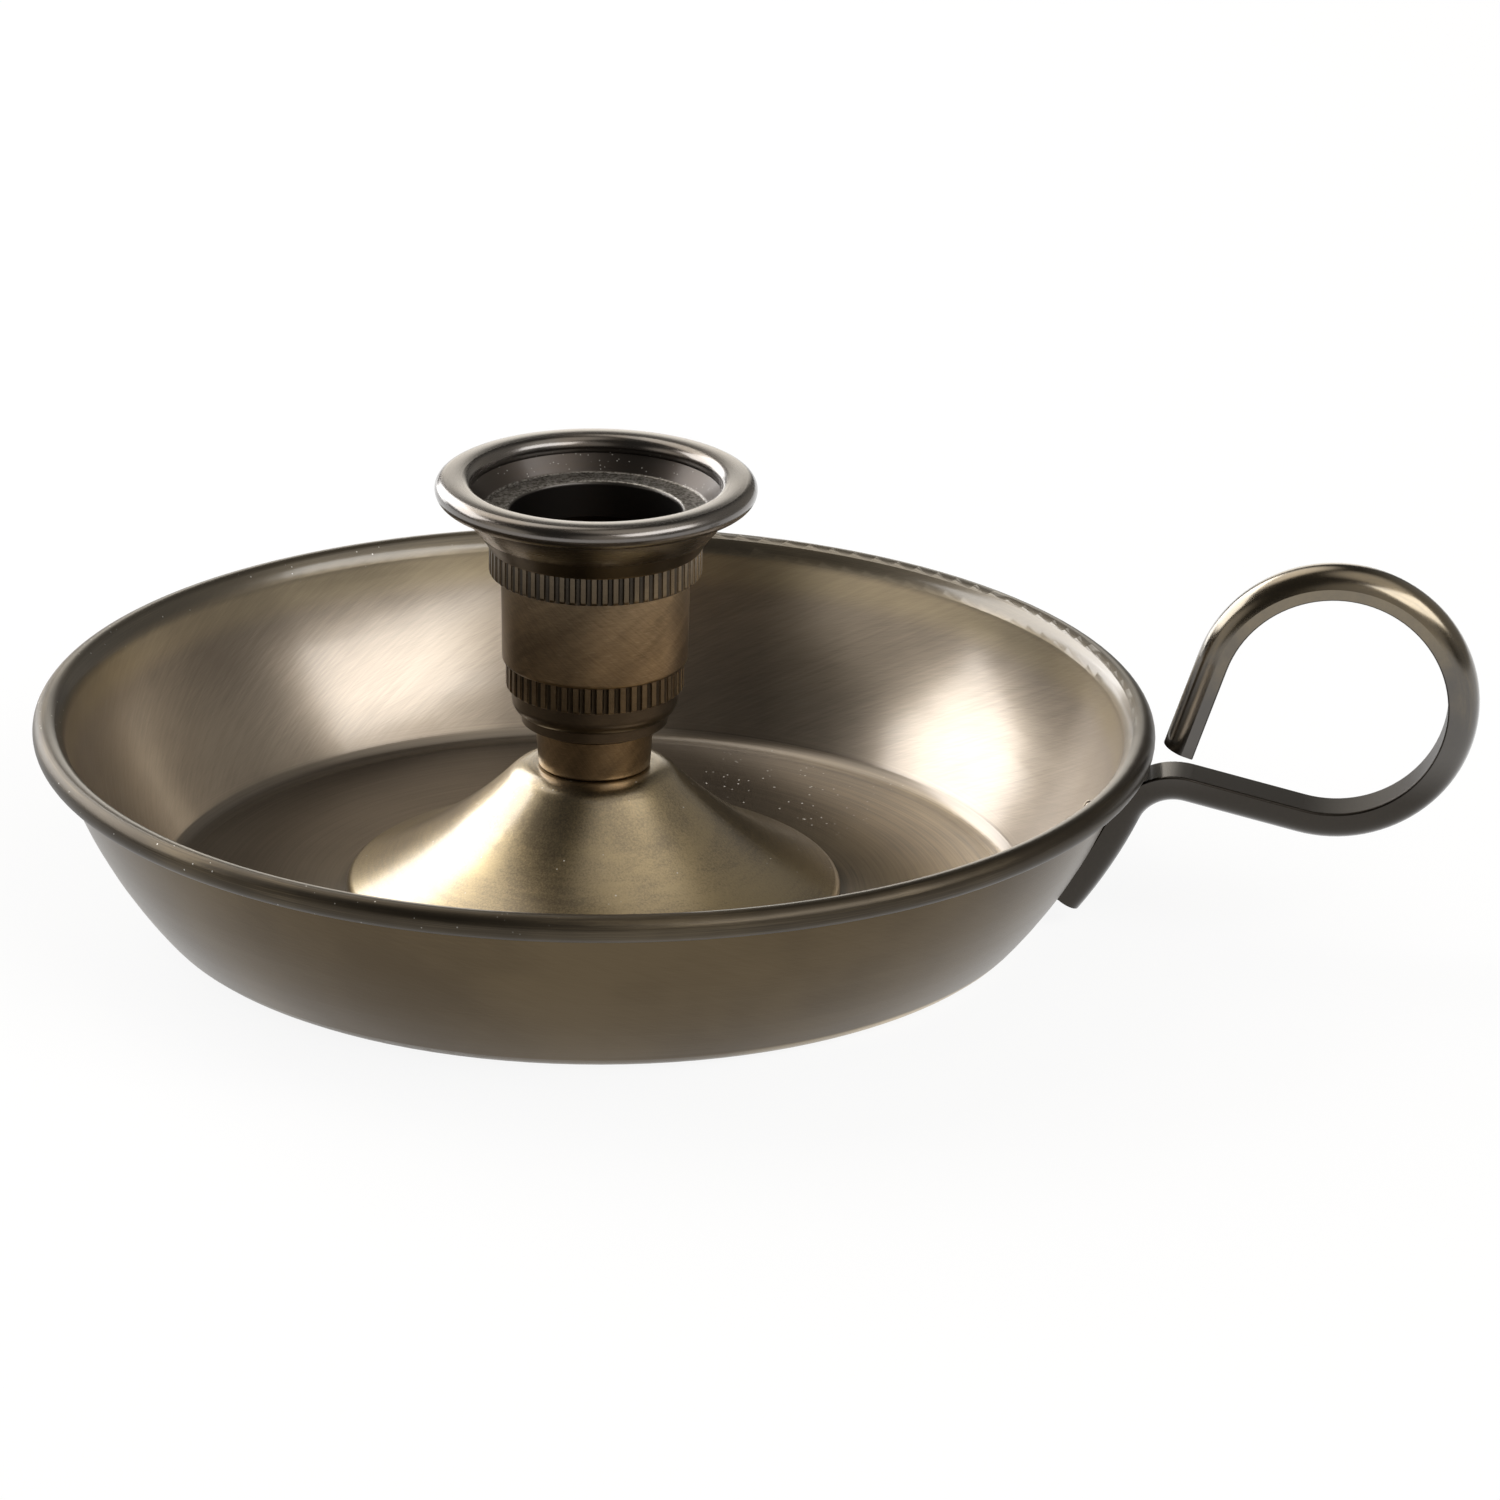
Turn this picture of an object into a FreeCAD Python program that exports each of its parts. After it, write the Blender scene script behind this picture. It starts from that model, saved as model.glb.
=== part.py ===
import FreeCAD, Part
import itertools
import math
import os
import Sketcher

# A chamberstick with a finger loop, in millimetres. The origin is on the pan's own axis, at the
# surface it stands on, +Z is up and the handle points along +X.

SIZES = {
    # pan: a spun dish with a flared and rolled rim, its centre raised to hide the screw's head
    "pan_radius": 75.0,
    "pan_height": 27.35,
    "pan_sheet": 1.4,
    "rim_curl_gap": 0.4,
    "rim_end_gap": 0.3,
    "rim_flare_radius": 4.0,
    "rim_flare_lean": 50.0,
    "wall_bow_radius": 63.6,
    "pan_foot_radius": 58.08,
    "pan_foot_edge": 5.0,
    "recess_radius": 9.0,
    "recess_bend": 0.6,
    "screw_head_lift": 0.6,
    # pedestal cone: a pressed shell that stands on the pan's floor
    "cone_foot_radius": 33.3,
    "cone_foot_rise": 1.6,
    "cone_foot_edge": 1.2,
    "cone_height": 18.3,
    "cone_sheet": 1.2,
    "cone_shoulder_radius": 10.0,
    "cone_shoulder_edge": 4.8,
    "cone_flank_bow_radius": 64.4,
    "cone_hole_radius": 4.4,
    # neck collar: the plain ring between the cone and the socket
    "collar_foot_radius": 7.5,
    "collar_top_radius": 7.85,
    "collar_height": 5.5,
    "collar_edge": 0.5,
    # socket base: the turned seat with the lower milled band, whose spigot is the candle's floor
    "base_seat_radius": 8.0,
    "base_chamfer_height": 0.9,
    "base_ring_radius": 9.8,
    "base_ring_height": 2.4,
    "base_step": 0.5,
    "base_neck_radius": 11.1,
    "base_round_height": 1.6,
    "base_neck_height": 5.7,
    "base_band_radius": 11.9,
    "base_band_height": 3.65,
    "base_band_edge": 0.35,
    "base_spigot_radius": 10.6,
    "base_spigot_height": 1.6,
    "base_flute_radius": 0.42,
    "base_flute_count": 47,
    # socket barrel: the tube that holds the candle, with the upper milled band and its crown
    "bore_radius": 11.45,
    "barrel_foot_radius": 12.4,
    "barrel_neck_radius": 12.6,
    "barrel_neck_height": 12.4,
    "barrel_foot_edge": 0.6,
    "barrel_band_radius": 14.2,
    "barrel_band_height": 3.85,
    "barrel_band_edge": 0.5,
    "barrel_flute_radius": 0.4,
    "barrel_flute_count": 62,
    "crown_radius": 15.6,
    "crown_height": 2.2,
    # drip lip: a turned dish with a low oval roll, pressed into the top of the barrel
    "lip_flange_wall": 1.2,
    "lip_flange_depth": 2.4,
    "lip_floor": 2.6,
    "lip_floor_radius": 15.0,
    "lip_floor_edge": 0.6,
    "lip_mouth_edge": 0.5,
    "lip_bow_radius": 12.4,
    "lip_radius": 21.4,
    "lip_height": 7.2,
    "lip_roll_width": 4.9,
    "lip_roll_height": 3.2,
    "lip_roll_end_radius": 1.52,
    "lip_roll_turn": 30.0,
    # screw and washer on the axis
    "screw_radius": 2.5,
    "screw_length": 30.0,
    "screw_head_radius": 4.5,
    "screw_head_height": 2.6,
    "screw_head_edge": 1.0,
    "screw_slot_width": 1.2,
    "screw_slot_depth": 1.2,
    "screw_tip_room": 0.8,
    "washer_radius": 5.5,
    "washer_thickness": 1.0,
    # handle: one length of half round bar, its flat side against the wall and inside the loop
    "bar_width": 6.2,
    "bar_depth": 4.15,
    "bar_flank": 1.6,
    "bar_edge": 0.35,
    "tab_foot_height": 4.8,
    "tab_top_drop": 10.2,
    "handle_bend_radius": 9.3,
    "handle_run_fall": 13.3,
    "loop_radius": 15.0,
    "loop_end_lean": 18.0,
    "loop_rim_gap": 1.2,
    "loop_mouth_gap": 2.8,
    # screws that hold the handle's tab to the wall
    "tab_screw_inset": 3.2,
    "tab_screw_radius": 1.5,
    "tab_screw_length": 4.6,
    "tab_screw_head_radius": 2.6,
    "tab_screw_head_height": 1.5,
    "tab_screw_head_edge": 0.5,
    "tab_screw_slot_width": 0.7,
    "tab_screw_slot_depth": 0.7,
    "tab_screw_tip_room": 0.3,
    # clearances
    "press_clearance": 0.03,
    "screw_hole_clearance": 0.25,
    "seat_gap": 0.1,
    "overrun": 1.0,
    "edge_match": 0.0001,
}

doc = FreeCAD.newDocument("Chamberstick")
sheet = doc.addObject("Spreadsheet::Sheet", "Sizes")


class Size:
    """A value known both as a number and as a formula of the sheet."""

    def __init__(self, number, formula):
        self.number = number
        self.formula = formula

    def combine(self, other, sign, work):
        other = as_size(other)
        return Size(work(self.number, other.number), f"({self.formula} {sign} {other.formula})")

    def __add__(self, other):
        return self.combine(other, "+", lambda a, b: a + b)

    def __sub__(self, other):
        return self.combine(other, "-", lambda a, b: a - b)

    def __mul__(self, other):
        return self.combine(other, "*", lambda a, b: a * b)

    def __truediv__(self, other):
        return self.combine(other, "/", lambda a, b: a / b)

    def __rmul__(self, other):
        return as_size(other) * self

    def __rsub__(self, other):
        return as_size(other) - self

    def __neg__(self):
        return Size(-self.number, f"(-{self.formula})")


def as_size(value):
    return value if isinstance(value, Size) else Size(value, repr(value))


def square(value):
    return value * value


def root(value):
    return Size(math.sqrt(value.number), f"sqrt({value.formula})")


def sine(angle):
    return Size(math.sin(math.radians(angle.number)), f"sin({angle.formula} * 1deg)")


def cosine(angle):
    return Size(math.cos(math.radians(angle.number)), f"cos({angle.formula} * 1deg)")


def angle_of_sine(value):
    return Size(math.degrees(math.asin(value.number)), f"(asin({value.formula}) / 1deg)")


sheet_rows = itertools.count(1)


def add_cell(alias, text):
    """Write one cell of the sheet under the last one and name it."""
    row = next(sheet_rows)
    sheet.set(f"A{row}", alias)
    sheet.set(f"B{row}", text)
    sheet.setAlias(f"B{row}", alias)


for alias, number in SIZES.items():
    add_cell(alias, str(number))
doc.recompute()


def size(alias):
    return Size(float(sheet.get(alias)), f"Sizes.{alias}")


def derived(alias, value):
    """Keep a worked out size as a formula of the sheet, so that other formulas stay short."""
    add_cell(alias, "=" + value.formula.replace("Sizes.", ""))
    doc.recompute()
    return size(alias)


# Sketches and features

class Bow:
    """The arc by which an outline arrives at a corner, its centre left or right of the way."""

    def __init__(self, radius, side, over_half=False):
        self.radius = radius
        self.side = side
        self.over_half = over_half


def origin_feature(body, role):
    return next(item for item in body.Origin.OriginFeatures if item.Role == role)


def new_body(label):
    body = doc.addObject("PartDesign::Body", label)
    body.Label = label
    return body


def new_sketch(body, name, plane):
    sketch = body.newObject("Sketcher::SketchObject", name)
    sketch.AttachmentSupport = [(origin_feature(body, plane), "")]
    sketch.MapMode = "FlatFace"
    return sketch


def bind(sketch, constraint, formula):
    index = sketch.addConstraint(constraint)
    sketch.setExpression(f"Constraints[{index}]", formula)


def pin_axis(sketch, kind, axis, geometry, point, place):
    """Hold one coordinate of a point, on the axis itself or at its distance on either side."""
    if place.number == 0:
        sketch.addConstraint(Sketcher.Constraint("PointOnObject", geometry, point, axis))
    elif place.number > 0:
        rule = Sketcher.Constraint(kind, -1, 1, geometry, point, place.number)
        bind(sketch, rule, place.formula)
    else:
        rule = Sketcher.Constraint(kind, geometry, point, -1, 1, -place.number)
        bind(sketch, rule, (-place).formula)


def pin(sketch, geometry, point, across, along):
    pin_axis(sketch, "DistanceX", -2, geometry, point, as_size(across))
    pin_axis(sketch, "DistanceY", -1, geometry, point, as_size(along))


def arc_between(start, end, bow):
    """The arc from start to end, which a sketch always keeps as turning left."""
    radius = bow.radius.number
    chord = end - start
    middle = (start + end) * 0.5
    left = FreeCAD.Vector(-chord.y, chord.x, 0).normalize()
    reach = math.sqrt(max(radius ** 2 - chord.Length ** 2 / 4, 0))
    to_left = (bow.side == "left") != bow.over_half
    centre = middle + left * (reach if to_left else -reach)
    first, last = (start, end) if bow.side == "left" else (end, start)
    angles = [math.atan2(spot.y - centre.y, spot.x - centre.x) for spot in (first, last)]
    circle = Part.Circle(centre, FreeCAD.Vector(0, 0, 1), radius)
    return Part.ArcOfCircle(circle, angles[0], angles[1])


def draw(sketch, corners, closed=True):
    """Draw a chain of lines and bows through corners of two coordinates and an optional bow."""
    spots = [FreeCAD.Vector(as_size(c[0]).number, as_size(c[1]).number, 0) for c in corners]
    bows = [c[2] if len(c) > 2 else None for c in corners]
    ends = []
    for number in range(0 if closed else 1, len(corners)):
        start, end, bow = spots[number - 1], spots[number], bows[number]
        if bow is None:
            piece = sketch.addGeometry(Part.LineSegment(start, end))
            ends.append((piece, 1, 2))
            continue
        piece = sketch.addGeometry(arc_between(start, end, bow))
        ends.append((piece, 1, 2) if bow.side == "left" else (piece, 2, 1))
        bind(sketch, Sketcher.Constraint("Radius", piece, bow.radius.number), bow.radius.formula)
    for number, (piece, first, last) in enumerate(ends):
        before = ends[number - 1]
        if closed or number > 0:
            rule = Sketcher.Constraint("Coincident", before[0], before[2], piece, first)
            sketch.addConstraint(rule)
        corner = corners[number if closed else number + 1]
        pin(sketch, piece, last, corner[0], corner[1])
    if not closed:
        pin(sketch, ends[0][0], ends[0][1], corners[0][0], corners[0][1])


def turned(label, corners):
    """A body made by turning an outline of reach and height about the Z axis."""
    body = new_body(label)
    sketch = new_sketch(body, label + "_outline", "XZ_Plane")
    draw(sketch, corners)
    turning = body.newObject("PartDesign::Revolution", label + "_turning")
    turning.Profile = sketch
    turning.ReferenceAxis = (sketch, ["V_Axis"])
    turning.Angle = 360
    doc.recompute()
    return body


def is_ring(edge, reach, height):
    if not isinstance(edge.Curve, Part.Circle):
        return False
    off = abs(edge.Curve.Radius - reach.number) + abs(edge.Curve.Center.z - height.number)
    return off < size("edge_match").number


def soften(body, name, radius, rings):
    """Round the circular edges that lie at the given reaches and heights."""
    base = body.Tip
    names = []
    for reach, height in rings:
        found = [number for number, edge in enumerate(base.Shape.Edges, 1)
                 if is_ring(edge, as_size(reach), as_size(height))]
        assert found, f"{body.Label} {name} has no edge at {reach.number}"
        names += [f"Edge{number}" for number in found]
    fillet = body.newObject("PartDesign::Fillet", name)
    fillet.Base = (base, names)
    fillet.setExpression("Radius", radius.formula)
    doc.recompute()


def cut_from(body, sketch, name, depth):
    """Cut along the sketch's normal, and make sure that the cut takes something away."""
    before = body.Tip.Shape.Volume
    pocket = body.newObject("PartDesign::Pocket", name)
    pocket.Refine = False
    pocket.Profile = sketch
    pocket.Reversed = True
    pocket.setExpression("Length", depth.formula)
    doc.recompute()
    assert pocket.Shape.Volume < before, f"{body.Label} {name} cuts nothing"
    return pocket


def flute_band(body, reach, foot, height, flute_radius, count):
    """Mill upright half round flutes side by side into a band."""
    sketch = new_sketch(body, body.Label + "_flute_outline", "XY_Plane")
    sketch.setExpression("AttachmentOffset.Base.z", foot.formula)
    centre = FreeCAD.Vector(reach.number, 0, 0)
    circle = Part.Circle(centre, FreeCAD.Vector(0, 0, 1), flute_radius.number)
    flute = sketch.addGeometry(circle)
    rule = Sketcher.Constraint("Radius", flute, flute_radius.number)
    bind(sketch, rule, flute_radius.formula)
    pin(sketch, flute, 3, reach, 0)
    pocket = cut_from(body, sketch, body.Label + "_flute", height)
    pattern = body.newObject("PartDesign::PolarPattern", body.Label + "_flutes")
    pattern.Refine = False
    pattern.Originals = [pocket]
    pattern.Axis = (origin_feature(body, "Z_Axis"), [""])
    pattern.Angle = 360
    pattern.setExpression("Occurrences", count.formula)
    body.Tip = pattern
    doc.recompute()


def lean_sketch(sketch, reach, height, angle):
    """Set a sketch of the YZ plane at a place in the XZ plane, its normal at an angle there."""
    axis = FreeCAD.Vector(1, 0, 0)
    turn = FreeCAD.Rotation(axis, -angle.number)
    sketch.AttachmentOffset = FreeCAD.Placement(FreeCAD.Vector(0, 0, 0), turn)
    sketch.setExpression("AttachmentOffset.Base.y", height.formula)
    sketch.setExpression("AttachmentOffset.Base.z", reach.formula)
    sketch.setExpression("AttachmentOffset.Rotation.Angle", f"{(-angle).formula} * 1deg")


def drill(body, name, reach, height, angle, radius, depth):
    """Drill along a direction of the XZ plane, starting at a place of that plane."""
    sketch = new_sketch(body, name + "_outline", "YZ_Plane")
    lean_sketch(sketch, reach, height, angle)
    circle = Part.Circle(FreeCAD.Vector(0, 0, 0), FreeCAD.Vector(0, 0, 1), radius.number)
    hole = sketch.addGeometry(circle)
    bind(sketch, Sketcher.Constraint("Radius", hole, radius.number), radius.formula)
    pin(sketch, hole, 3, 0, 0)
    cut_from(body, sketch, name, depth)


# Heights of the stack, from the table up

sheet_top = size("pan_sheet")
cone_top = derived("cone_top", sheet_top + size("cone_height"))
collar_top = derived("collar_top", cone_top + size("collar_height"))
neck_top = derived("base_neck_top", collar_top + size("base_neck_height"))
barrel_foot = derived("barrel_foot", neck_top + size("base_band_height"))
band_foot = derived("barrel_band_foot", barrel_foot + size("barrel_neck_height"))
band_top = derived("barrel_band_top", band_foot + size("barrel_band_height"))
crown_top = derived("crown_top", band_top + size("crown_height"))
lip_top = derived("lip_top", crown_top + size("lip_height"))

# The screw's own place: its head hangs below the washer, inside the raised centre

washer_foot = derived("washer_foot", size("screw_head_lift") + size("screw_head_height"))
recess_height = derived("recess_height", washer_foot + size("washer_thickness"))
screw_tip = derived("screw_tip", washer_foot + size("screw_length"))
screw_hole = derived("screw_hole_radius", size("screw_radius") + size("screw_hole_clearance"))

# The candle's floor is the top of the base's spigot, flush with a step inside the barrel

candle_floor = derived("candle_floor", barrel_foot + size("base_spigot_height"))

# Pan: the wall is one arc that bends outward into a flare, and the flare runs into the curl

curl_gap = size("rim_curl_gap")
bead = derived("rim_bead_radius", sheet_top + curl_gap)
bead_reach = derived("rim_bead_reach", size("pan_radius") - bead)
bead_height = derived("rim_bead_height", size("pan_height") - bead)
flare = size("rim_flare_radius")
flare_under = derived("rim_flare_under_radius", flare - sheet_top)
flare_back = derived("rim_flare_backward", -cosine(size("rim_flare_lean")))
flare_up = derived("rim_flare_upward", sine(size("rim_flare_lean")))
flare_x = derived("rim_flare_reach", bead_reach - (flare - bead) * flare_back)
flare_z = derived("rim_flare_height", bead_height - (flare - bead) * flare_up)
wall_bow = size("wall_bow_radius")
foot_reach = size("pan_foot_radius")
rim_run = derived("wall_chord_run", flare_x - foot_reach)
rim_chord = derived("wall_chord", root(square(rim_run) + square(flare_z)))
chord_shift = (square(wall_bow) - square(wall_bow + flare_under)) / rim_chord / 2
along = derived("wall_centre_along", chord_shift + rim_chord / 2)
aside = derived("wall_centre_aside", root(square(wall_bow) - square(along)))
wall_x = derived("wall_centre_reach",
                 foot_reach + (along * rim_run - aside * flare_z) / rim_chord)
wall_z = derived("wall_centre_height", (along * flare_z + aside * rim_run) / rim_chord)


def make_pan():
    inner_bow = wall_bow - sheet_top
    edge = size("pan_foot_edge")
    turn_x = derived("foot_round_reach",
                     wall_x + root(square(wall_bow - edge) - square(wall_z - edge)))
    outward_x = derived("foot_round_outward", (turn_x - wall_x) / (wall_bow - edge))
    outward_z = derived("foot_round_upward", (edge - wall_z) / (wall_bow - edge))
    inward_x = derived("flare_inward_reach", (wall_x - flare_x) / (wall_bow + flare_under))
    inward_z = derived("flare_inward_height", (wall_z - flare_z) / (wall_bow + flare_under))
    wall_off = derived("curl_wall_distance", (flare_x - bead_reach) * inward_x
                       + (flare_z - bead_height) * inward_z + flare_under)
    turned_in = derived("curl_end_sine", (wall_off - size("rim_end_gap")) / bead)
    turned_down = derived("curl_end_cosine", root(1 - square(turned_in)))
    end_x = derived("curl_end_reach", inward_x * turned_in - inward_z * turned_down)
    end_z = derived("curl_end_height", inward_z * turned_in + inward_x * turned_down)
    recess = size("recess_radius")
    slope_foot = derived("recess_foot_radius", recess + recess_height)
    bend_share = math.sqrt(2) - 1
    bend = derived("recess_bend_shift", sheet_top * bend_share)
    raised = recess_height + sheet_top
    pan = turned("pan", [
        (screw_hole, recess_height),
        (recess, recess_height),
        (slope_foot, 0),
        (turn_x, 0),
        (wall_x + wall_bow * outward_x, wall_z + wall_bow * outward_z, Bow(edge, "left")),
        (flare_x + flare_under * inward_x, flare_z + flare_under * inward_z,
         Bow(wall_bow, "left")),
        (bead_reach + curl_gap * flare_back, bead_height + curl_gap * flare_up,
         Bow(flare_under, "right")),
        (bead_reach + curl_gap * end_x, bead_height + curl_gap * end_z,
         Bow(curl_gap, "right", over_half=True)),
        (bead_reach + bead * end_x, bead_height + bead * end_z),
        (bead_reach + bead * flare_back, bead_height + bead * flare_up,
         Bow(bead, "left", over_half=True)),
        (flare_x + flare * inward_x, flare_z + flare * inward_z, Bow(flare, "left")),
        (wall_x + inner_bow * outward_x, wall_z + inner_bow * outward_z,
         Bow(inner_bow, "right")),
        (turn_x, sheet_top, Bow(edge - sheet_top, "right")),
        (slope_foot + bend, sheet_top),
        (recess + bend, raised),
        (screw_hole, raised),
    ])
    tight = size("recess_bend")
    soften(pan, "recess_tight_round", tight,
           [(recess, recess_height), (slope_foot + bend, sheet_top)])
    soften(pan, "recess_wide_round", tight + sheet_top,
           [(slope_foot, as_size(0)), (recess + bend, raised)])
    for name, height in tab_screws.items():
        angle = wall_angle(height)
        start = wall_bow - sheet_top - size("overrun")
        hole = size("tab_screw_radius") + size("seat_gap")
        drill(pan, f"{name}_hole", wall_x + start * cosine(angle), wall_z + start * sine(angle),
              angle, hole, sheet_top + size("overrun") * 2)
    return pan


def wall_angle(height):
    """The direction, seen from the wall's centre, of a height on the wall's outside."""
    return angle_of_sine((height - wall_z) / wall_bow)


# Pedestal cone

def make_cone():
    metal = size("cone_sheet")
    foot = size("cone_foot_radius")
    rise = derived("cone_foot_top", sheet_top + size("cone_foot_rise"))
    shoulder = size("cone_shoulder_radius")
    bow = size("cone_flank_bow_radius")
    run = derived("cone_flank_run", foot - shoulder)
    climb = derived("cone_flank_climb", cone_top - rise)
    chord = derived("cone_flank_chord", root(square(run) + square(climb)))
    reach = derived("cone_flank_aside", root(square(bow) - square(chord) / 4))
    centre_x = derived("cone_flank_centre_reach", (foot + shoulder) / 2 + reach * climb / chord)
    centre_z = derived("cone_flank_centre_height", (rise + cone_top) / 2 + reach * run / chord)
    inner_bow = bow + metal
    under = cone_top - metal
    inner_foot = foot - metal
    inner_shoulder = centre_x - root(square(inner_bow) - square(centre_z - under))
    inner_rise = centre_z - root(square(inner_bow) - square(centre_x - inner_foot))
    hole = size("cone_hole_radius")
    cone = turned("pedestal_cone", [
        (inner_foot, sheet_top),
        (foot, sheet_top),
        (foot, rise),
        (shoulder, cone_top, Bow(bow, "right")),
        (hole, cone_top),
        (hole, under),
        (inner_shoulder, under),
        (inner_foot, inner_rise, Bow(inner_bow, "left")),
    ])
    edge = size("cone_shoulder_edge")
    soften(cone, "shoulder_round", edge, [(shoulder, cone_top)])
    soften(cone, "shoulder_under_round", edge - metal, [(inner_shoulder, under)])
    soften(cone, "cone_foot_round", size("cone_foot_edge"), [(foot, rise)])
    return cone


# Neck collar, located in the cone by a short spigot

def make_collar():
    spigot = size("cone_hole_radius") - size("press_clearance")
    foot = size("collar_foot_radius")
    collar = turned("neck_collar", [
        (screw_hole, cone_top - size("cone_sheet")),
        (spigot, cone_top - size("cone_sheet")),
        (spigot, cone_top),
        (foot, cone_top),
        (size("collar_top_radius"), collar_top),
        (screw_hole, collar_top),
    ])
    soften(collar, "collar_foot_round", size("collar_edge"), [(foot, cone_top)])
    return collar


# Socket base, tapped from below for the screw

def make_base():
    ring_top = collar_top + size("base_ring_height")
    ring = size("base_ring_radius")
    neck = size("base_neck_radius")
    step = ring + size("base_step")
    round_run = neck - step
    round_height = size("base_round_height")
    round_radius = (square(round_run) + square(round_height)) / round_run / 2
    band = size("base_band_radius")
    spigot = size("base_spigot_radius")
    tapped = size("screw_radius") + size("press_clearance")
    hole_top = screw_tip + size("screw_tip_room")
    base = turned("socket_base", [
        (tapped, collar_top),
        (size("base_seat_radius"), collar_top),
        (ring, collar_top + size("base_chamfer_height")),
        (ring, ring_top),
        (step, ring_top),
        (neck, ring_top + round_height, Bow(round_radius, "left")),
        (neck, neck_top),
        (band, neck_top),
        (band, barrel_foot),
        (spigot, barrel_foot),
        (spigot, candle_floor),
        (0, candle_floor),
        (0, hole_top),
        (tapped, hole_top),
    ])
    soften(base, "base_band_round", size("base_band_edge"), [(band, neck_top)])
    flute_band(base, band, neck_top, size("base_band_height"),
               size("base_flute_radius"), size("base_flute_count"))
    return base


# Socket barrel, pushed over the base's spigot

def make_barrel():
    bore = size("bore_radius")
    foot = size("barrel_foot_radius")
    band = size("barrel_band_radius")
    seat = bore + size("lip_flange_wall") + size("press_clearance")
    seat_foot = crown_top - size("lip_flange_depth")
    collar = size("base_spigot_radius") + size("press_clearance")
    barrel = turned("socket_barrel", [
        (collar, barrel_foot),
        (foot, barrel_foot),
        (size("barrel_neck_radius"), band_foot),
        (band, band_foot),
        (band, band_top),
        (size("crown_radius"), crown_top),
        (seat, crown_top),
        (seat, seat_foot),
        (bore, seat_foot),
        (bore, candle_floor),
        (collar, candle_floor),
    ])
    soften(barrel, "barrel_foot_round", size("barrel_foot_edge"), [(foot, barrel_foot)])
    soften(barrel, "barrel_band_round", size("barrel_band_edge"), [(band, band_foot)])
    flute_band(barrel, band, band_foot, size("barrel_band_height"),
               size("barrel_flute_radius"), size("barrel_flute_count"))
    return barrel


# Drip lip: a conical dish under the inner edge of an oval roll, which is made of four bows

def make_lip():
    bore = size("bore_radius")
    flange = bore + size("lip_flange_wall")
    flange_foot = crown_top - size("lip_flange_depth") + size("press_clearance")
    half_width = size("lip_roll_width") / 2
    half_height = size("lip_roll_height") / 2
    end = size("lip_roll_end_radius")
    middle_x = derived("lip_roll_reach", size("lip_radius") - half_width)
    middle_z = derived("lip_roll_middle", lip_top - half_height)
    spread = derived("lip_roll_spread", half_width - end)
    slack = derived("lip_roll_slack", half_height - end)
    drop = derived("lip_roll_drop", (square(spread) / slack - slack) / 2)
    crest = derived("lip_roll_crest_radius", half_height + drop)
    join_x = derived("lip_roll_join_reach", spread + end * spread / (crest - end))
    join_z = derived("lip_roll_join_height", end * drop / (crest - end))
    floor_top = crown_top + size("lip_floor")
    floor = size("lip_floor_radius")
    turn = size("lip_roll_turn")
    under_x = middle_x - join_x / 2
    under_sag = crest - root(square(crest) - square(join_x) / 4)
    under_z = middle_z - half_height + under_sag
    lip = turned("drip_lip", [
        (bore, flange_foot),
        (flange, flange_foot),
        (flange, crown_top),
        (size("crown_radius"), crown_top),
        (under_x, under_z, Bow(size("lip_bow_radius"), "left")),
        (middle_x + join_x, middle_z - join_z, Bow(crest, "left")),
        (middle_x + join_x, middle_z + join_z, Bow(end, "left")),
        (middle_x - join_x, middle_z + join_z, Bow(crest, "left")),
        (middle_x - spread - end * cosine(turn), middle_z - end * sine(turn),
         Bow(end, "left")),
        (floor, floor_top),
        (bore, floor_top),
    ])
    soften(lip, "lip_floor_round", size("lip_floor_edge"), [(floor, floor_top)])
    soften(lip, "lip_mouth_round", size("lip_mouth_edge"), [(bore, floor_top)])
    return lip


# Screws and washer

def make_screw(label, prefix):
    """A slotted pan head screw along +Z with the underside of its head at its own origin."""
    head = size(prefix + "_head_radius")
    height = size(prefix + "_head_height")
    shank = size(prefix + "_radius")
    screw = turned(label, [
        (0, -height),
        (head, -height),
        (head, 0),
        (shank, 0),
        (shank, size(prefix + "_length")),
        (0, size(prefix + "_length")),
    ])
    soften(screw, label + "_head_round", size(prefix + "_head_edge"), [(head, -height)])
    slot = new_sketch(screw, label + "_slot_outline", "XY_Plane")
    slot.setExpression("AttachmentOffset.Base.z", (-height).formula)
    half = size(prefix + "_slot_width") / 2
    reach = head + size("overrun")
    draw(slot, [(-reach, -half), (reach, -half), (reach, half), (-reach, half)])
    cut_from(screw, slot, label + "_slot", size(prefix + "_slot_depth"))
    return screw


def make_centre_screw():
    screw = make_screw("centre_screw", "screw")
    screw.setExpression("Placement.Base.z", washer_foot.formula)
    return screw


def make_washer():
    return turned("screw_washer", [
        (screw_hole, washer_foot),
        (size("washer_radius"), washer_foot),
        (size("washer_radius"), recess_height),
        (screw_hole, recess_height),
    ])


def make_tab_screw(label, height):
    """A screw from inside the pan, its axis square to the wall, its head just off the sheet."""
    screw = make_screw(label, "tab_screw")
    angle = wall_angle(height)
    start = wall_bow - sheet_top - size("seat_gap")
    turn = 90 - angle
    axis = FreeCAD.Vector(0, 1, 0)
    screw.Placement = FreeCAD.Placement(FreeCAD.Vector(0, 0, 0),
                                        FreeCAD.Rotation(axis, turn.number))
    screw.setExpression("Placement.Base.x", (wall_x + start * cosine(angle)).formula)
    screw.setExpression("Placement.Base.z", (wall_z + start * sine(angle)).formula)
    screw.setExpression("Placement.Rotation.Angle", f"{turn.formula} * 1deg")
    return screw


# Handle: a path for the middle of the flat side, with the bar's section swept along it

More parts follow.
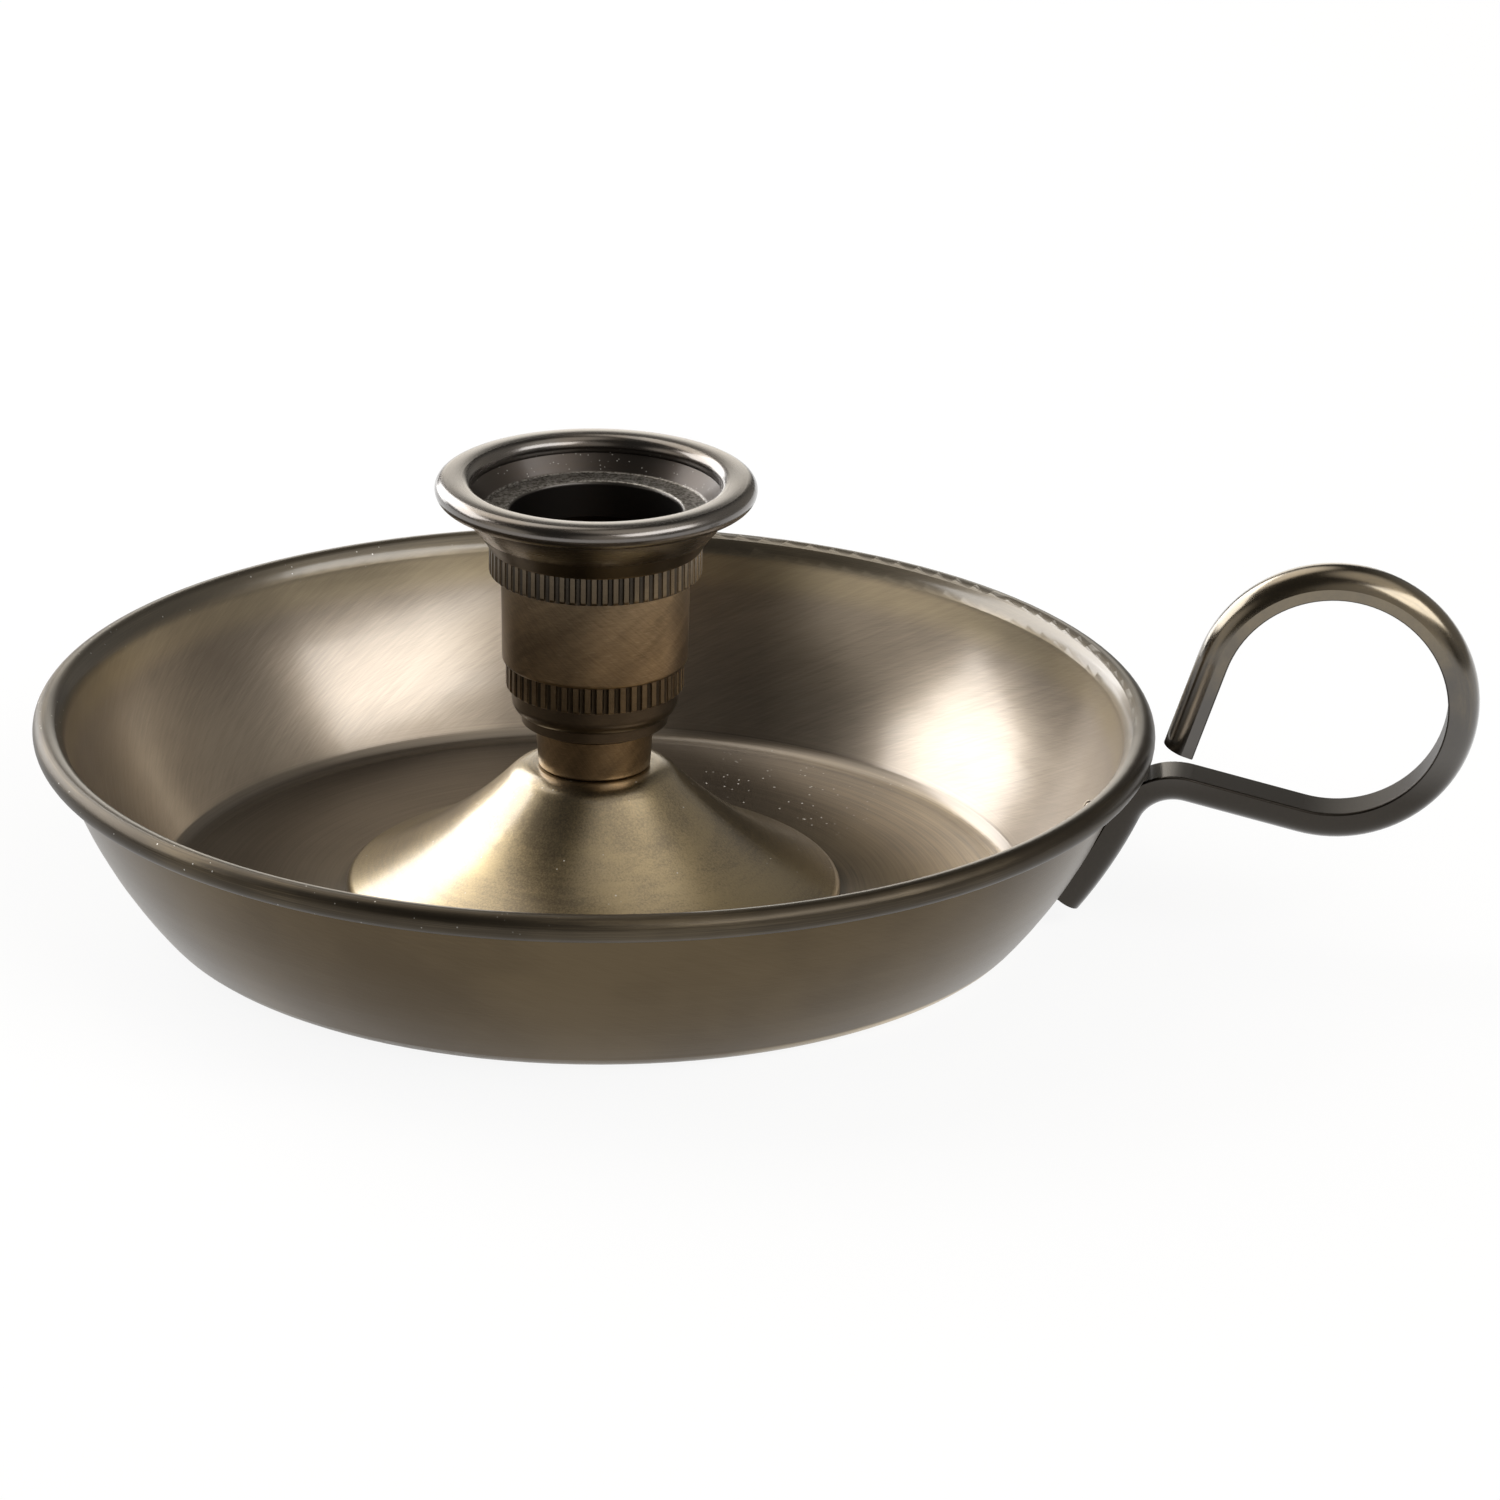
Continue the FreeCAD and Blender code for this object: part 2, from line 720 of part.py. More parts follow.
tab_top = derived("tab_top_height", size("pan_height") - size("tab_top_drop"))
tab_screws = {
    "handle_screw_lower": size("tab_foot_height") + size("tab_screw_inset"),
    "handle_screw_upper": tab_top - size("tab_screw_inset"),
}


def handle_path():
    """The corners of the path, from the tab's foot to the loop's free end."""
    seat = derived("tab_bow_radius", wall_bow + size("seat_gap"))
    foot_sine = derived("tab_foot_sine", (size("tab_foot_height") - wall_z) / seat)
    top_sine = derived("tab_top_sine", (tab_top - wall_z) / seat)
    foot_cosine = root(1 - square(foot_sine))
    top_cosine = derived("tab_top_cosine", root(1 - square(top_sine)))
    bend = size("handle_bend_radius")
    fall = size("handle_run_fall")
    loop = size("loop_radius")
    lean = size("loop_end_lean")
    depth = size("bar_depth")
    run_x = derived("run_start_reach",
                    wall_x + (seat + bend) * top_cosine + bend * sine(fall))
    run_z = derived("run_start_height",
                    wall_z + (seat + bend) * top_sine + bend * cosine(fall))
    end_x = size("pan_radius") + size("loop_rim_gap") + depth * cosine(lean)
    sideways = derived("loop_sideways",
                       end_x - run_x - loop * sine(fall) + loop * cosine(lean))
    upward = derived("loop_upward",
                     loop * cosine(fall) + loop * sine(lean) - size("loop_mouth_gap"))
    slant = derived("loop_slant", sine(lean) / cosine(lean))
    run = derived("run_length",
                  (sideways + upward * slant) / (cosine(fall) + slant * sine(fall)))
    free = derived("free_end_length", (upward - run * sine(fall)) / cosine(lean))
    low_x = derived("loop_start_reach", run_x + run * cosine(fall))
    low_z = derived("loop_start_height", run_z - run * sine(fall))
    back_x = derived("loop_end_reach", low_x + loop * sine(fall) - loop * cosine(lean))
    back_z = derived("loop_end_height", low_z + loop * cosine(fall) + loop * sine(lean))
    return [
        (wall_x + seat * foot_cosine, size("tab_foot_height")),
        (wall_x + seat * top_cosine, tab_top, Bow(seat, "left")),
        (run_x, run_z, Bow(bend, "right")),
        (low_x, low_z),
        (back_x, back_z, Bow(loop, "left", over_half=True)),
        (back_x - free * sine(lean), back_z - free * cosine(lean)),
    ]


def make_handle():
    handle = new_body("handle")
    path = new_sketch(handle, "handle_path", "XZ_Plane")
    corners = handle_path()
    draw(path, corners, closed=False)
    section = new_sketch(handle, "bar_section", "YZ_Plane")
    foot_angle = angle_of_sine(size("tab_foot_sine"))
    lean_sketch(section, corners[0][0], corners[0][1], foot_angle + 90)
    half = size("bar_width") / 2
    edge = size("bar_edge")
    flank = size("bar_flank")
    swell = size("bar_depth") - flank
    back = (square(half) + square(swell)) / swell / 2
    draw(section, [
        (edge - half, 0, Bow(edge, "right")),
        (half - edge, 0),
        (half, -edge, Bow(edge, "right")),
        (half, -flank),
        (-half, -flank, Bow(back, "right")),
        (-half, -edge),
    ])
    bar = handle.newObject("PartDesign::AdditivePipe", "bar")
    bar.Profile = section
    bar.Spine = path
    doc.recompute()
    for name, height in tab_screws.items():
        angle = wall_angle(height)
        depth = size("tab_screw_length") - sheet_top - size("seat_gap") \
            + size("tab_screw_tip_room")
        drill(handle, f"{name}_thread", wall_x + wall_bow * cosine(angle),
              wall_z + wall_bow * sine(angle), angle,
              size("tab_screw_radius") + size("press_clearance"), depth)
    return handle


bodies = [
    make_pan(),
    make_cone(),
    make_collar(),
    make_lip(),
    make_centre_screw(),
    make_washer(),
    make_handle(),
]
bodies += [make_tab_screw(name, height) for name, height in tab_screws.items()]
bodies += [make_base(), make_barrel()]
doc.recompute()

# Every object must be sound before anything is written

for item in doc.Objects:
    assert "Invalid" not in item.State and "Error" not in item.State, item.Name
for body in bodies:
    shape = body.Shape
    assert not shape.isNull() and shape.isValid(), body.Label
    assert len(shape.Solids) == 1, body.Label

os.makedirs("parts", exist_ok=True)
for body in bodies:
    body.Shape.exportStep(f"parts/{body.Label}.step")
    box = body.Shape.BoundBox
    print(f"{body.Label}: volume {body.Shape.Volume:.1f}, "
          f"x {box.XMin:.2f} to {box.XMax:.2f}, z {box.ZMin:.2f} to {box.ZMax:.2f}")
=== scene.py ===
"""A chamberstick with a finger loop in brushed antique brass, on a pale studio floor."""

import math

import bpy
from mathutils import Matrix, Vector


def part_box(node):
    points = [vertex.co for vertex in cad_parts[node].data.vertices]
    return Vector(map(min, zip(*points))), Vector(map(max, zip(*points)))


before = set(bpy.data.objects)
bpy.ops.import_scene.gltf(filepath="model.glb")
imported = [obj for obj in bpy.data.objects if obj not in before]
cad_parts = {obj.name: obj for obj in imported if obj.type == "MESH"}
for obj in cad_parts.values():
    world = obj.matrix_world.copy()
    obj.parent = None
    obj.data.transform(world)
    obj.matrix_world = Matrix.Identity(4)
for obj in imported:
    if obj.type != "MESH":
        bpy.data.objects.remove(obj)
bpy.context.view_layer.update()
MILLIMETRE = 0.001


# Camera: the photograph's viewing angle, found from the rim, lip, floor and socket ellipses

IMAGE_SIDE = 1500
FOCAL_PIXELS = 8000
OPTICAL_AXIS = (734.88, 743.42)
SENSOR_WIDTH = 36
NEAREST_SEEN = 0.05
VIEW_ELEVATION = math.radians(20.927)
VIEW_AZIMUTH = math.radians(5.4)
VIEW_ROLL = 0.013312
OBJECT_FROM_CAMERA = Vector((-18.811, -21.172, 1079.931)) * MILLIMETRE


def turned_about_z(vector, angle):
    return Vector((
        vector.x * math.cos(angle) - vector.y * math.sin(angle),
        vector.x * math.sin(angle) + vector.y * math.cos(angle),
        vector.z,
    ))


def make_camera():
    """A long lens at the photograph's distance; its roll is part of its rotation."""
    across = Vector((1, 0, 0))
    upward = Vector((0, math.sin(VIEW_ELEVATION), math.cos(VIEW_ELEVATION)))
    ahead = Vector((0, math.cos(VIEW_ELEVATION), -math.sin(VIEW_ELEVATION)))
    offset = OBJECT_FROM_CAMERA
    spot = -(across * offset.x + upward * offset.y + ahead * offset.z)
    rolled_across = across * math.cos(VIEW_ROLL) + upward * math.sin(VIEW_ROLL)
    rolled_upward = upward * math.cos(VIEW_ROLL) - across * math.sin(VIEW_ROLL)
    lens = bpy.data.cameras.new("camera")
    lens.sensor_width = SENSOR_WIDTH
    lens.lens = SENSOR_WIDTH * FOCAL_PIXELS / IMAGE_SIDE
    lens.shift_x = 0.5 - OPTICAL_AXIS[0] / IMAGE_SIDE
    lens.shift_y = OPTICAL_AXIS[1] / IMAGE_SIDE - 0.5
    lens.clip_start = NEAREST_SEEN
    camera = bpy.data.objects.new("camera", lens)
    bpy.context.scene.collection.objects.link(camera)
    x_axis = turned_about_z(rolled_across, VIEW_AZIMUTH)
    y_axis = turned_about_z(rolled_upward, VIEW_AZIMUTH)
    z_axis = turned_about_z(-ahead, VIEW_AZIMUTH)
    camera.rotation_mode = "QUATERNION"
    rotation = camera.matrix_world.to_3x3()
    for column, axis in enumerate((x_axis, y_axis, z_axis)):
        rotation.col[column] = axis
    camera.rotation_quaternion = rotation.to_quaternion()
    camera.location = turned_about_z(spot, VIEW_AZIMUTH)
    bpy.context.scene.camera = camera


# Shader maths

class Wire:
    """A socket's value; an expression on wires adds the Math nodes that work it out."""

    def __init__(self, finish, socket):
        self.finish = finish
        self.socket = socket

    def __add__(self, other):
        return self.finish.maths("ADD", self, other)

    def __radd__(self, other):
        return self.finish.maths("ADD", other, self)

    def __sub__(self, other):
        return self.finish.maths("SUBTRACT", self, other)

    def __rsub__(self, other):
        return self.finish.maths("SUBTRACT", other, self)

    def __mul__(self, other):
        return self.finish.maths("MULTIPLY", self, other)

    def __rmul__(self, other):
        return self.finish.maths("MULTIPLY", other, self)

    def __truediv__(self, other):
        return self.finish.maths("DIVIDE", self, other)

    def __pow__(self, other):
        return self.finish.maths("POWER", self, other)

    def most(self, other):
        return self.finish.maths("MAXIMUM", self, other)


MIXED_COLOURS = (6, 7)
MIXED_NUMBERS = (2, 3)
SPECK_EDGE = (0.22, 0.12)
SHARE_STEP = 0.001


class Finish:
    """A node tree, with one method that adds any node to it."""

    def __init__(self, tree):
        self.tree = tree
        tree.nodes.clear()

    def node(self, kind, settings=None, sockets=None, output=0):
        """Add a node: settings first, then the values or links of its sockets."""
        made = self.tree.nodes.new("ShaderNode" + kind)
        for name, value in (settings or {}).items():
            setattr(made, name, value)
        for name, value in (sockets or {}).items():
            if isinstance(value, Wire):
                self.tree.links.new(value.socket, made.inputs[name])
            else:
                made.inputs[name].default_value = value
        return Wire(self, made.outputs[output]) if len(made.outputs) else None

    def maths(self, operation, *values):
        return self.node("Math", {"operation": operation}, dict(enumerate(values)))

    def vector_maths(self, operation, first, second, output=0):
        return self.node("VectorMath", {"operation": operation},
                         {0: first, 1: second}, output)

    def split(self, vector):
        """The three parts of a vector."""
        return [self.node("SeparateXYZ", sockets={0: vector}, output=axis) for axis in "XYZ"]

    def join(self, *parts):
        """A vector from three numbers or wires."""
        return self.node("CombineXYZ", sockets=dict(enumerate(parts)))

    def fade(self, value, start, end):
        """0 at start and 1 at end, with a soft turn at both; start may be above end."""
        return self.node("MapRange", {"interpolation_type": "SMOOTHSTEP"},
                         {"Value": value, "From Min": start, "From Max": end})

    def band(self, value, low, high, soft):
        """1 between low and high, fading to 0 over soft outside them."""
        return self.fade(value, low - soft, low) * self.fade(value, high + soft, high)

    def mix(self, factor, first, second):
        """A colour between two, each a tuple or a wire."""
        colours = [value if isinstance(value, Wire) else (*value, 1)
                   for value in (first, second)]
        sockets = {0: factor, **dict(zip(MIXED_COLOURS, colours))}
        return self.node("Mix", {"data_type": "RGBA"}, sockets, output=2)

    def blend(self, factor, first, second):
        """A number between two."""
        sockets = {0: factor, **dict(zip(MIXED_NUMBERS, (first, second)))}
        return self.node("Mix", {"data_type": "FLOAT"}, sockets)

    def shade(self, colour, strength):
        """A colour made lighter or darker by a factor."""
        return self.vector_maths("MULTIPLY", colour, self.join(strength, strength, strength))

    def noise(self, vector, scale, detail=2.0, roughness=0.5):
        return self.node("TexNoise", sockets={
            "Vector": vector, "Scale": scale, "Detail": detail, "Roughness": roughness})

    def specks(self, vector, scale, share):
        """1 inside small round specks, which a share of the cells hold."""
        cells = {"Vector": vector, "Scale": scale}
        from_middle = self.node("TexVoronoi", sockets=cells, output="Distance")
        middle = self.node("TexVoronoi", sockets=cells, output="Position")
        chance = self.node("TexWhiteNoise", sockets={"Vector": middle})
        return (self.fade(from_middle, *SPECK_EDGE)
                * self.fade(chance, share + SHARE_STEP, share))


MARK_ROUGHNESS = 0.6
LEAST_REACH = 0.05
COAT_ROUGHNESS = 0.18
COAT_IOR = 1.8


class Metal(Finish):
    """The finish of one metal piece, with its places in millimetres."""

    def __init__(self, name):
        self.material = bpy.data.materials.new(name)
        self.material.use_nodes = True
        super().__init__(self.material.node_tree)
        place = self.node("TexCoord", output="Object")
        self.spot = self.node("VectorMath", {"operation": "SCALE"},
                              {0: place, "Scale": 1 / MILLIMETRE})
        self.x, self.y, self.z = self.split(self.spot)
        self.reach = (self.x * self.x + self.y * self.y) ** 0.5
        facing = self.node("NewGeometry", output="Normal")
        self.facing_x, self.facing_y, self.facing_z = self.split(facing)
        self.east = self.x / self.reach.most(LEAST_REACH)
        self.north = self.y / self.reach.most(LEAST_REACH)

    def outward(self):
        """1 where the surface faces straight away from the axis, -1 where towards it."""
        return self.facing_x * self.east + self.facing_y * self.north

    def round_marks(self, along, scale, turns, detail=3.0, twist=0.0):
        """Marks round the axis: scale is their fineness along the outline, turns the
        fineness round the piece and twist the slant in radians a millimetre."""
        east, north = self.east, self.north
        if twist:
            turn_cos = self.maths("COSINE", along * twist)
            turn_sin = self.maths("SINE", along * twist)
            east, north = (east * turn_cos - north * turn_sin,
                           east * turn_sin + north * turn_cos)
        marks = self.join(east * turns, north * turns, along * scale)
        return self.noise(marks, 1.0, detail, MARK_ROUGHNESS)

    def bump(self, height, depth):
        """A normal from a height of 0 to 1 that stands for a depth in millimetres."""
        return self.node("Bump", sockets={
            "Strength": 1.0, "Distance": depth * MILLIMETRE, "Height": height})

    def finish(self, colour, roughness, normal, coat=0.7, dust=0.0):
        """Close the tree with a lacquered metal shader, dull where there is dust."""
        shader = self.node("BsdfPrincipled", sockets={
            "Base Color": colour, "Roughness": roughness, "Normal": normal,
            "Metallic": 1 - dust, "Coat Weight": coat,
            "Coat Roughness": COAT_ROUGHNESS, "Coat IOR": COAT_IOR})
        self.node("OutputMaterial", sockets={"Surface": shader})
        return self.material


# Finishes: linear colours; a pair runs from the dull metal to the worn metal

BRIGHT_BRASS = (0.46, 0.385, 0.27)
# painted highlight: the golden band along the top of the pan's inner wall
PAINTED_RIM_HIGHLIGHT = (0.47, 0.385, 0.235)
# painted sheen: a golden reflection on the right side of the pan's floor
PAINTED_FLOOR_SHEEN = (0.62, 0.49, 0.30)
# painted shade: the colour of the darkened crease, the ring under the cone and the cone's
# foot
PAINTED_SHADE_BROWN = (0.062, 0.050, 0.038)
DUST = (0.62, 0.60, 0.56)
PAN_METAL = (0.20, 0.162, 0.123), (0.33, 0.275, 0.212)
PAN_OUTSIDE = (0.066, 0.046, 0.023), (0.088, 0.062, 0.030)
BEAD_METAL = (0.050, 0.041, 0.030), (0.100, 0.080, 0.054)
CONE_METAL = (0.175, 0.136, 0.082), (0.36, 0.28, 0.150)
SOCKET_METAL = (0.200, 0.148, 0.092), (0.40, 0.290, 0.175)
SOCKET_GROOVE = (0.035, 0.029, 0.022)
SOCKET_RIDGE = (0.150, 0.116, 0.074)
# painted shade: the colour of the dark bands under the socket's overhangs
SOCKET_PAINTED_SHADE = (0.085, 0.070, 0.054)
LIP_METAL = (0.100, 0.088, 0.079), (0.108, 0.088, 0.071)
LIP_UNDERSIDE = (0.105, 0.084, 0.064)
# painted shade: the colour of the darkened dish inside the lip's roll
LIP_DISH = (0.046, 0.038, 0.033)
LIP_BORE = (0.07, 0.065, 0.06)
HANDLE_METAL = (0.042, 0.034, 0.025), (0.145, 0.108, 0.055)
# painted shade: the colour of the handle's flat side facing into the loop
HANDLE_FLAT = (0.040, 0.034, 0.029)
SCREW_METAL = PAN_METAL[1], BRIGHT_BRASS

# Places in millimetres: a pair is where a zone starts and where it is whole,
# or for a band its two edges

BEAD_RADIUS = 1.8
PAN_WALL_HEIGHT = (2.0, 5.0)
PAN_FLOOR_HEIGHT = (2.2, 1.6)
# heights of the painted shade in the crease where the inner wall meets the floor
PAN_TURN_BAND = (1.6, 2.4)
# heights of the painted highlight along the top of the inner wall
RIM_HIGHLIGHT_BAND = (23.0, 27.0)
# reach of the painted shadow ring on the floor round the cone's foot
CONE_FOOT_RING = (32.6, 33.6)
# where the painted sheen on the floor starts and where it is whole
FLOOR_SHEEN_X = (12, 46)
CHIPPED_X = (10, -30)
# where the bead's roll is painted lighter on its far side, as painted light
BEAD_BACK_Y = (-20, 60)
DUST_PLACE = (20, 38, 1.4)
DUST_REACH = (23.0, 6.0)
# heights of the painted shade at the cone's foot
CONE_FOOT_HEIGHT = (3.2, 1.8)
LOWER_MILLED_BAND = (30.9, 34.55)
UPPER_MILLED_BAND = (46.95, 50.8)
LOWER_RIDGE_REACH = 11.9
UPPER_RIDGE_REACH = 14.2
GROOVE_DEPTH = (0.08, 0.28)
# heights of the painted shade below the lower milled band and under the lip
BASE_SHADE_BAND = (25, 30.6)
CROWN_SHADE_BAND = (51.1, 54)
# a slanting line across the socket: painted shade to its left, painted light to its right
LIT_SIDE_EDGE = (-9, -1)
LIT_SIDE_HEIGHT = 37
LIT_SIDE_SLANT = 1.1
UNDERSIDE_HEIGHT = (57.0, 56.4)
UNDERSIDE_REACH = (15.4, 15.7)
DISH_HEIGHT = (58.9, 57.8)
LEDGE_HEIGHT = (55.9, 55.7)
BORE_REACH = (11.9, 11.5)
LOOP_RADIUS = 15.0
BAR_DEPTH = 4.15
WORN_BELOW_TOP = (30, 4)
# heights where the painted shade on the handle's lower run starts and is whole
LOW_SHADE_HEIGHT = (28, 20)

# How far a surface faces away from the axis, up, or into the handle's loop

FACING_OUT = (0.0, 0.35)
FACING_AXIS = (0.2, 0.0)
FACING_UP = (0.6, 0.95)
FACING_LOOP = (0.25, 0.6)


def pan_finish():
    """Brushed brown brass: slanting strokes on the wall and rings on the floor."""
    metal = Metal("pan_brushed_brown_brass")
    along = metal.reach + metal.z
    rings = metal.round_marks(along, scale=2.4, turns=2.0)
    fine_rings = metal.round_marks(along, scale=9.0, turns=5.0)
    strokes = metal.round_marks(along, scale=0.12, turns=90.0, twist=0.018)
    crossing = metal.round_marks(along, scale=0.30, turns=190.0, twist=0.036)
    clouds = metal.noise(metal.spot, scale=0.035, detail=3.0)
    wall = metal.fade(metal.z, *PAN_WALL_HEIGHT)
    floor = metal.fade(metal.z, *PAN_FLOOR_HEIGHT)
    outside = metal.fade(metal.outward(), *FACING_OUT)
    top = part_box("pan")[1]
    bead_reach = metal.reach - (top.y / MILLIMETRE - BEAD_RADIUS)
    bead_height = metal.z - (top.z / MILLIMETRE - BEAD_RADIUS)
    from_bead = (bead_reach ** 2 + bead_height ** 2) ** 0.5
    bead = metal.fade(from_bead, BEAD_RADIUS + 1.2, BEAD_RADIUS + 0.1)

    brush = metal.blend(wall, rings, strokes * 0.6 + crossing * 0.4)
    wear = metal.fade(brush * 0.35 + clouds * 0.65, 0.34, 0.66)
    colour = metal.mix(wear, *PAN_METAL)
    tarnish = metal.mix(metal.fade(clouds + rings * 0.15, 0.45, 0.70), *PAN_OUTSIDE)
    colour = metal.mix(outside * 0.9, colour, tarnish)
    # Painted highlight: a golden band along the top of the inner wall under the bead, patchy
    # where the wear is.
    upper = metal.band(metal.z, *RIM_HIGHLIGHT_BAND, soft=3.5) * (1 - outside)
    colour = metal.mix(upper * (0.35 + wear * 0.35), colour, PAINTED_RIM_HIGHLIGHT)

    worn_roll = metal.fade(fine_rings * 0.4 + clouds * 0.6, 0.46, 0.66)
    roll = metal.mix(worn_roll, *BEAD_METAL)
    # Painted light: the dark roll is mixed in a little less on the far side, so the bead
    # shows lighter there.
    lit_back = metal.fade(metal.y, *BEAD_BACK_Y)
    colour = metal.mix(bead * (0.97 - lit_back * 0.1), colour, roll)
    chips = metal.specks(metal.spot, scale=1.6, share=0.10)
    chips = chips * bead * metal.fade(metal.x, *CHIPPED_X)
    colour = metal.mix(chips * 0.7, colour, DUST)

    # Painted sheen: a golden streaky reflection on the floor's right side, following the
    # brushed rings.
    floor_sheen = metal.fade(rings * 0.4 + clouds * 0.6, 0.30, 0.62)
    floor_sheen = metal.fade(metal.x, *FLOOR_SHEEN_X) * floor_sheen
    colour = metal.mix(floor_sheen * floor * 0.9, colour, PAINTED_FLOOR_SHEEN)
    # Painted shadow: a dark ring on the floor where the cone stands.
    foot = metal.band(metal.reach, *CONE_FOOT_RING, soft=1.2) * floor
    colour = metal.mix(foot * 0.7, colour, PAINTED_SHADE_BROWN)
    colour = metal.shade(colour, 0.90 + fine_rings * 0.10 + crossing * 0.10)
    # Painted shade: the crease where the inner wall turns into the floor is darkened.
    turn = metal.band(metal.z, *PAN_TURN_BAND, soft=0.7) * (1 - outside)
    colour = metal.mix(turn * 0.6, colour, PAINTED_SHADE_BROWN)

    from_dust = metal.vector_maths("DISTANCE", metal.spot, DUST_PLACE, output="Value")
    dust = metal.specks(metal.spot, scale=1.2, share=0.22)
    dust = dust * metal.fade(from_dust, *DUST_REACH) * floor
    colour = metal.mix(dust, colour, DUST)
    roughness = 0.25 + fine_rings * 0.06 + crossing * 0.03 + dust * 0.3 + bead * 0.11
    height = rings * 0.25 + fine_rings * (0.35 + floor * 0.6) + wall * crossing * 0.30
    normal = metal.bump(height * (1 - bead), depth=0.016)
    return metal.finish(colour, roughness, normal, coat=0.6 - outside * 0.58, dust=dust)


def cone_finish():
    """Satin bronze with a fine sandy grain."""
    metal = Metal("cone_satin_bronze")
    grain = metal.noise(metal.spot, scale=3.4, detail=3.0, roughness=0.75)
    rings = metal.round_marks(metal.reach + metal.z, scale=4.0, turns=4.0, twist=0.01)
    clouds = metal.noise(metal.spot, scale=0.06)
    wear = metal.fade(rings * 0.2 + grain * 0.3 + clouds * 0.5, 0.38, 0.62)
    colour = metal.mix(wear, *CONE_METAL)
    # Painted shade: the cone darkens towards its foot, and its coat thins there.
    foot = metal.fade(metal.z, *CONE_FOOT_HEIGHT)
    colour = metal.mix(foot * 0.9, colour, PAINTED_SHADE_BROWN)
    colour = metal.shade(colour, 0.85 + grain * 0.3)
    dust = metal.specks(metal.spot, scale=1.5, share=0.03)
    colour = metal.mix(dust * 0.6, colour, DUST)
    roughness = 0.25 + grain * 0.12
    normal = metal.bump(grain * 0.7 + rings * 0.3, depth=0.030)
    return metal.finish(colour, roughness, normal, coat=0.7 - foot * 0.65, dust=dust)


def socket_finish(name, milled_band=None, ridge_reach=None, shade_band=None):
    """Golden brown brass with slanting scratches; a milled band keeps dark grooves; painted
    shade darkens the left side and the bands under overhangs.
    """
    metal = Metal(name)
    scratches = metal.round_marks(metal.z, scale=0.5, turns=34.0, twist=0.09)
    fine = metal.round_marks(metal.z, scale=6.0, turns=9.0, twist=-0.10)
    clouds = metal.round_marks(metal.z, scale=0.10, turns=2.2, detail=2.0, twist=-0.12)
    wear = metal.fade(scratches * 0.30 + fine * 0.20 + clouds * 0.50, 0.30, 0.72)
    colour = metal.mix(wear, *SOCKET_METAL)
    bright = metal.fade(fine, 0.62, 0.72)
    colour = metal.mix(bright * 0.3, colour, BRIGHT_BRASS)
    if milled_band:
        milled = metal.band(metal.z, *milled_band, soft=0.15)
        groove = metal.fade(metal.reach, *[ridge_reach - depth for depth in GROOVE_DEPTH])
        colour = metal.mix(milled * groove * 0.9, colour, SOCKET_GROOVE)
        colour = metal.mix(milled * (1 - groove) * 0.7, colour, SOCKET_RIDGE)
    # Painted shade: a dark band under an overhang, below the lower milled band on the base
    # and under the lip on the barrel.
    if shade_band:
        painted_shade = metal.band(metal.z, *shade_band, soft=0.3)
        colour = metal.mix(painted_shade * 0.85, colour, SOCKET_PAINTED_SHADE)
    # Painted light and shade: a slanting line splits a darker left side from a lighter right
    # side.
    slant = metal.x - (metal.z - LIT_SIDE_HEIGHT) * LIT_SIDE_SLANT
    lit_side = metal.fade(slant, *LIT_SIDE_EDGE)
    colour = metal.shade(colour, (0.9 + fine * 0.2) * (0.62 + lit_side * 0.5))
    roughness = 0.27 + fine * 0.08
    normal = metal.bump(scratches * 0.4 + fine * 0.3, depth=0.010)
    return metal.finish(colour, roughness, normal, coat=0.2)


def lip_finish():
    """Dark bronze with a soft gloss, and a dull dusty dish inside the roll."""
    metal = Metal("lip_dark_bronze")
    rings = metal.round_marks(metal.reach * 0.8 + metal.z, scale=5.0, turns=4.0)
    clouds = metal.noise(metal.spot, scale=0.12, detail=3.0)
    warm = metal.fade(clouds * 0.8 + rings * 0.2, 0.40, 0.62)
    colour = metal.mix(warm, *LIP_METAL)
    below = (metal.fade(metal.z, *UNDERSIDE_HEIGHT)
             * metal.fade(metal.reach, *UNDERSIDE_REACH))
    colour = metal.mix(below * 0.8, colour, LIP_UNDERSIDE)
    bore = metal.fade(metal.reach, *BORE_REACH)
    dish = metal.fade(metal.z, *DISH_HEIGHT) * metal.fade(metal.outward(), *FACING_AXIS)
    ledge = metal.fade(metal.z, *LEDGE_HEIGHT) * metal.fade(metal.facing_z, *FACING_UP)
    # Painted shade: the dish inside the roll is darkened.
    colour = metal.mix(dish * 0.8, colour, LIP_DISH)
    colour = metal.mix(bore * 0.6, colour, LIP_BORE)
    powder = metal.noise(metal.spot, scale=2.6, detail=3.0, roughness=0.7)
    film = ledge * metal.fade(powder, 0.35, 0.65)
    colour = metal.mix(film * 0.5, colour, DUST)
    dust = metal.specks(metal.spot, scale=3.0, share=0.12) * dish * (1 - bore)
    colour = metal.mix(dust, colour, DUST)
    roughness = 0.25 + rings * 0.04 + dish * 0.13 + dust * 0.3
    normal = metal.bump(rings + ledge * powder, depth=0.004)
    return metal.finish(colour, roughness, normal, coat=0.85 - dish * 0.7,
                        dust=dust * 0.8 + film * 0.2)


